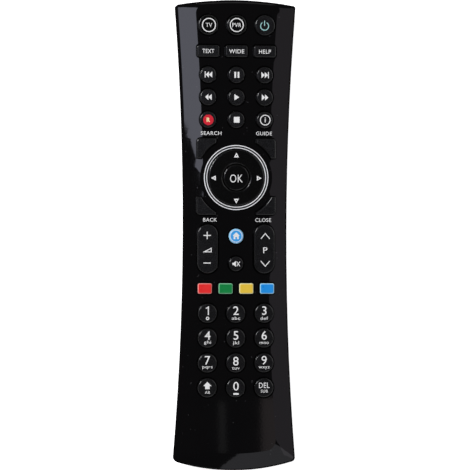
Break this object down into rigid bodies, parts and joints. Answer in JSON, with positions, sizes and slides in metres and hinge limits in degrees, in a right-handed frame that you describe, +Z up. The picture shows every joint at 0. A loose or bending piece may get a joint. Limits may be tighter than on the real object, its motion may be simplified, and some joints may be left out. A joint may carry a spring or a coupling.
{
  "type": "remote control",
  "caption": "Long waisted handheld remote control with a keypad, tilting direction ring, two rockers and a sliding battery door.",
  "frame": {"origin": "centre of the case's box, on the surface that its flat back lies on", "axes": "+X to the right of someone reading the keys, +Y towards the infrared window, +Z up out of the keypad"},
  "size_m": [0.057, 0.2208, 0.023],
  "materials": {
    "gloss_black": "high-gloss moulded",
    "satin_black": "fine satin texture",
    "key_black": "matte moulded",
    "key_red": "moulded colour",
    "key_green": "moulded colour",
    "key_yellow": "moulded colour",
    "key_blue": "moulded colour",
    "key_sky": "moulded colour",
    "bright_trim": "bright plated",
    "ir_window": "dark filter plastic",
    "grey_plastic": "moulded",
    "mat_rubber": "moulded silicone",
    "board_green": "solder mask",
    "lamp_clear": "clear epoxy",
    "chip_black": "moulded epoxy",
    "steel": "zinc plated",
    "spring_steel": "nickel plated",
    "capacitor_sleeve": "shrink sleeve",
    "cell_sleeve": "printed sleeve"
  },
  "bodies": {
    "root": {"top_shell": "gloss_black", "bottom_shell": "satin_black", "ir_window": "ir_window", "nav_trim_ring": "bright_trim", "keypad_mat": "mat_rubber", "circuit_board": "board_green", "ir_leds": "lamp_clear", "controller_chip": "chip_black", "resonator": "steel", "capacitor": "capacitor_sleeve", "battery_left": "cell_sleeve", "battery_right": "cell_sleeve", "contact_bridge": "spring_steel", "contact_positive": "spring_steel", "contact_negative": "spring_steel", "board_screws": "steel", "case_screws": "steel"},
    "battery_door": {"battery_door": "satin_black"},
    "volume_rocker": {"volume_rocker": "key_black"},
    "program_rocker": {"program_rocker": "key_black"},
    "nav_rocker_ring": {"nav_rocker_ring": "grey_plastic"},
    "nav_ring": {"nav_ring": "key_black"},
    "key_tv": {"key_tv": "key_black"},
    "key_pvr": {"key_pvr": "key_black"},
    "key_power": {"key_power": "key_black"},
    "key_text": {"key_text": "key_black"},
    "key_zoom": {"key_zoom": "key_black"},
    "key_help": {"key_help": "key_black"},
    "key_skip_back": {"key_skip_back": "key_black"},
    "key_pause": {"key_pause": "key_black"},
    "key_skip_forward": {"key_skip_forward": "key_black"},
    "key_rewind": {"key_rewind": "key_black"},
    "key_play": {"key_play": "key_black"},
    "key_fast_forward": {"key_fast_forward": "key_black"},
    "key_record": {"key_record": "key_black"},
    "key_stop": {"key_stop": "key_black"},
    "key_info": {"key_info": "key_black"},
    "key_search": {"key_search": "key_black"},
    "key_guide": {"key_guide": "key_black"},
    "key_back": {"key_back": "key_black"},
    "key_close": {"key_close": "key_black"},
    "key_home": {"key_home": "key_sky"},
    "key_mute": {"key_mute": "key_black"},
    "key_red": {"key_red": "key_red"},
    "key_green": {"key_green": "key_green"},
    "key_yellow": {"key_yellow": "key_yellow"},
    "key_blue": {"key_blue": "key_blue"},
    "key_1": {"key_1": "key_black"},
    "key_2": {"key_2": "key_black"},
    "key_3": {"key_3": "key_black"},
    "key_4": {"key_4": "key_black"},
    "key_5": {"key_5": "key_black"},
    "key_6": {"key_6": "key_black"},
    "key_7": {"key_7": "key_black"},
    "key_8": {"key_8": "key_black"},
    "key_9": {"key_9": "key_black"},
    "key_shift": {"key_shift": "key_black"},
    "key_0": {"key_0": "key_black"},
    "key_delete": {"key_delete": "key_black"},
    "key_ok": {"key_ok": "key_black"}
  },
  "joints": [
    {"name": "volume_rocker_tilt", "type": "hinge", "parent": "root", "child": "volume_rocker", "pos_m": [-0.01336, -0.00642, 0.0185], "axis": [1, 0, 0], "range_deg": [-3.5, 3.5], "stiffness_Nm_per_rad": 0.4, "deforming": ["keypad_mat"]},
    {"name": "program_rocker_tilt", "type": "hinge", "parent": "root", "child": "program_rocker", "pos_m": [0.01336, -0.00642, 0.0185], "axis": [1, 0, 0], "range_deg": [-3.5, 3.5], "stiffness_Nm_per_rad": 0.4, "deforming": ["keypad_mat"]},
    {"name": "nav_tilt_up_down", "type": "hinge", "parent": "root", "child": "nav_rocker_ring", "pos_m": [0, 0.02701, 0.01758], "axis": [1, 0, 0], "range_deg": [-2.5, 2.5], "stiffness_Nm_per_rad": 0.4, "deforming": ["keypad_mat"]},
    {"name": "nav_tilt_left_right", "type": "hinge", "parent": "nav_rocker_ring", "child": "nav_ring", "pos_m": [0, 0.02701, 0.01828], "axis": [0, 1, 0], "range_deg": [-2.5, 2.5], "stiffness_Nm_per_rad": 0.4, "deforming": ["keypad_mat"]},
    {"name": "battery_door_slide", "type": "slide", "parent": "root", "child": "battery_door", "axis": [0, -1, 0], "range_m": [0, 0.06]},
    {"name": "key_tv_press", "type": "slide", "parent": "root", "child": "key_tv", "axis": [0, 0, -1], "range_m": [0, 0.0008], "stiffness_N_per_m": 1200, "deforming": ["keypad_mat"]},
    {"name": "key_pvr_press", "type": "slide", "parent": "root", "child": "key_pvr", "axis": [0, 0, -1], "range_m": [0, 0.0008], "stiffness_N_per_m": 1200, "deforming": ["keypad_mat"]},
    {"name": "key_power_press", "type": "slide", "parent": "root", "child": "key_power", "axis": [0, 0, -1], "range_m": [0, 0.0008], "stiffness_N_per_m": 1200, "deforming": ["keypad_mat"]},
    {"name": "key_text_press", "type": "slide", "parent": "root", "child": "key_text", "axis": [0, 0, -1], "range_m": [0, 0.0008], "stiffness_N_per_m": 1200, "deforming": ["keypad_mat"]},
    {"name": "key_zoom_press", "type": "slide", "parent": "root", "child": "key_zoom", "axis": [0, 0, -1], "range_m": [0, 0.0008], "stiffness_N_per_m": 1200, "deforming": ["keypad_mat"]},
    {"name": "key_help_press", "type": "slide", "parent": "root", "child": "key_help", "axis": [0, 0, -1], "range_m": [0, 0.0008], "stiffness_N_per_m": 1200, "deforming": ["keypad_mat"]},
    {"name": "key_skip_back_press", "type": "slide", "parent": "root", "child": "key_skip_back", "axis": [0, 0, -1], "range_m": [0, 0.0008], "stiffness_N_per_m": 1200, "deforming": ["keypad_mat"]},
    {"name": "key_pause_press", "type": "slide", "parent": "root", "child": "key_pause", "axis": [0, 0, -1], "range_m": [0, 0.0008], "stiffness_N_per_m": 1200, "deforming": ["keypad_mat"]},
    {"name": "key_skip_forward_press", "type": "slide", "parent": "root", "child": "key_skip_forward", "axis": [0, 0, -1], "range_m": [0, 0.0008], "stiffness_N_per_m": 1200, "deforming": ["keypad_mat"]},
    {"name": "key_rewind_press", "type": "slide", "parent": "root", "child": "key_rewind", "axis": [0, 0, -1], "range_m": [0, 0.0008], "stiffness_N_per_m": 1200, "deforming": ["keypad_mat"]},
    {"name": "key_play_press", "type": "slide", "parent": "root", "child": "key_play", "axis": [0, 0, -1], "range_m": [0, 0.0008], "stiffness_N_per_m": 1200, "deforming": ["keypad_mat"]},
    {"name": "key_fast_forward_press", "type": "slide", "parent": "root", "child": "key_fast_forward", "axis": [0, 0, -1], "range_m": [0, 0.0008], "stiffness_N_per_m": 1200, "deforming": ["keypad_mat"]},
    {"name": "key_record_press", "type": "slide", "parent": "root", "child": "key_record", "axis": [0, 0, -1], "range_m": [0, 0.0008], "stiffness_N_per_m": 1200, "deforming": ["keypad_mat"]},
    {"name": "key_stop_press", "type": "slide", "parent": "root", "child": "key_stop", "axis": [0, 0, -1], "range_m": [0, 0.0008], "stiffness_N_per_m": 1200, "deforming": ["keypad_mat"]},
    {"name": "key_info_press", "type": "slide", "parent": "root", "child": "key_info", "axis": [0, 0, -1], "range_m": [0, 0.0008], "stiffness_N_per_m": 1200, "deforming": ["keypad_mat"]},
    {"name": "key_search_press", "type": "slide", "parent": "root", "child": "key_search", "axis": [0, 0, -1], "range_m": [0, 0.0008], "stiffness_N_per_m": 1200, "deforming": ["keypad_mat"]},
    {"name": "key_guide_press", "type": "slide", "parent": "root", "child": "key_guide", "axis": [0, 0, -1], "range_m": [0, 0.0008], "stiffness_N_per_m": 1200, "deforming": ["keypad_mat"]},
    {"name": "key_back_press", "type": "slide", "parent": "root", "child": "key_back", "axis": [0, 0, -1], "range_m": [0, 0.0008], "stiffness_N_per_m": 1200, "deforming": ["keypad_mat"]},
    {"name": "key_close_press", "type": "slide", "parent": "root", "child": "key_close", "axis": [0, 0, -1], "range_m": [0, 0.0008], "stiffness_N_per_m": 1200, "deforming": ["keypad_mat"]},
    {"name": "key_home_press", "type": "slide", "parent": "root", "child": "key_home", "axis": [0, 0, -1], "range_m": [0, 0.0008], "stiffness_N_per_m": 1200, "deforming": ["keypad_mat"]},
    {"name": "key_mute_press", "type": "slide", "parent": "root", "child": "key_mute", "axis": [0, 0, -1], "range_m": [0, 0.0008], "stiffness_N_per_m": 1200, "deforming": ["keypad_mat"]},
    {"name": "key_red_press", "type": "slide", "parent": "root", "child": "key_red", "axis": [0, 0, -1], "range_m": [0, 0.0008], "stiffness_N_per_m": 1200, "deforming": ["keypad_mat"]},
    {"name": "key_green_press", "type": "slide", "parent": "root", "child": "key_green", "axis": [0, 0, -1], "range_m": [0, 0.0008], "stiffness_N_per_m": 1200, "deforming": ["keypad_mat"]},
    {"name": "key_yellow_press", "type": "slide", "parent": "root", "child": "key_yellow", "axis": [0, 0, -1], "range_m": [0, 0.0008], "stiffness_N_per_m": 1200, "deforming": ["keypad_mat"]},
    {"name": "key_blue_press", "type": "slide", "parent": "root", "child": "key_blue", "axis": [0, 0, -1], "range_m": [0, 0.0008], "stiffness_N_per_m": 1200, "deforming": ["keypad_mat"]},
    {"name": "key_1_press", "type": "slide", "parent": "root", "child": "key_1", "axis": [0, 0, -1], "range_m": [0, 0.0008], "stiffness_N_per_m": 1200, "deforming": ["keypad_mat"]},
    {"name": "key_2_press", "type": "slide", "parent": "root", "child": "key_2", "axis": [0, 0, -1], "range_m": [0, 0.0008], "stiffness_N_per_m": 1200, "deforming": ["keypad_mat"]},
    {"name": "key_3_press", "type": "slide", "parent": "root", "child": "key_3", "axis": [0, 0, -1], "range_m": [0, 0.0008], "stiffness_N_per_m": 1200, "deforming": ["keypad_mat"]},
    {"name": "key_4_press", "type": "slide", "parent": "root", "child": "key_4", "axis": [0, 0, -1], "range_m": [0, 0.0008], "stiffness_N_per_m": 1200, "deforming": ["keypad_mat"]},
    {"name": "key_5_press", "type": "slide", "parent": "root", "child": "key_5", "axis": [0, 0, -1], "range_m": [0, 0.0008], "stiffness_N_per_m": 1200, "deforming": ["keypad_mat"]},
    {"name": "key_6_press", "type": "slide", "parent": "root", "child": "key_6", "axis": [0, 0, -1], "range_m": [0, 0.0008], "stiffness_N_per_m": 1200, "deforming": ["keypad_mat"]},
    {"name": "key_7_press", "type": "slide", "parent": "root", "child": "key_7", "axis": [0, 0, -1], "range_m": [0, 0.0008], "stiffness_N_per_m": 1200, "deforming": ["keypad_mat"]},
    {"name": "key_8_press", "type": "slide", "parent": "root", "child": "key_8", "axis": [0, 0, -1], "range_m": [0, 0.0008], "stiffness_N_per_m": 1200, "deforming": ["keypad_mat"]},
    {"name": "key_9_press", "type": "slide", "parent": "root", "child": "key_9", "axis": [0, 0, -1], "range_m": [0, 0.0008], "stiffness_N_per_m": 1200, "deforming": ["keypad_mat"]},
    {"name": "key_shift_press", "type": "slide", "parent": "root", "child": "key_shift", "axis": [0, 0, -1], "range_m": [0, 0.0008], "stiffness_N_per_m": 1200, "deforming": ["keypad_mat"]},
    {"name": "key_0_press", "type": "slide", "parent": "root", "child": "key_0", "axis": [0, 0, -1], "range_m": [0, 0.0008], "stiffness_N_per_m": 1200, "deforming": ["keypad_mat"]},
    {"name": "key_delete_press", "type": "slide", "parent": "root", "child": "key_delete", "axis": [0, 0, -1], "range_m": [0, 0.0008], "stiffness_N_per_m": 1200, "deforming": ["keypad_mat"]},
    {"name": "key_ok_press", "type": "slide", "parent": "root", "child": "key_ok", "axis": [0, 0, -1], "range_m": [0, 0.0008], "stiffness_N_per_m": 1200, "deforming": ["keypad_mat"]}
  ]
}
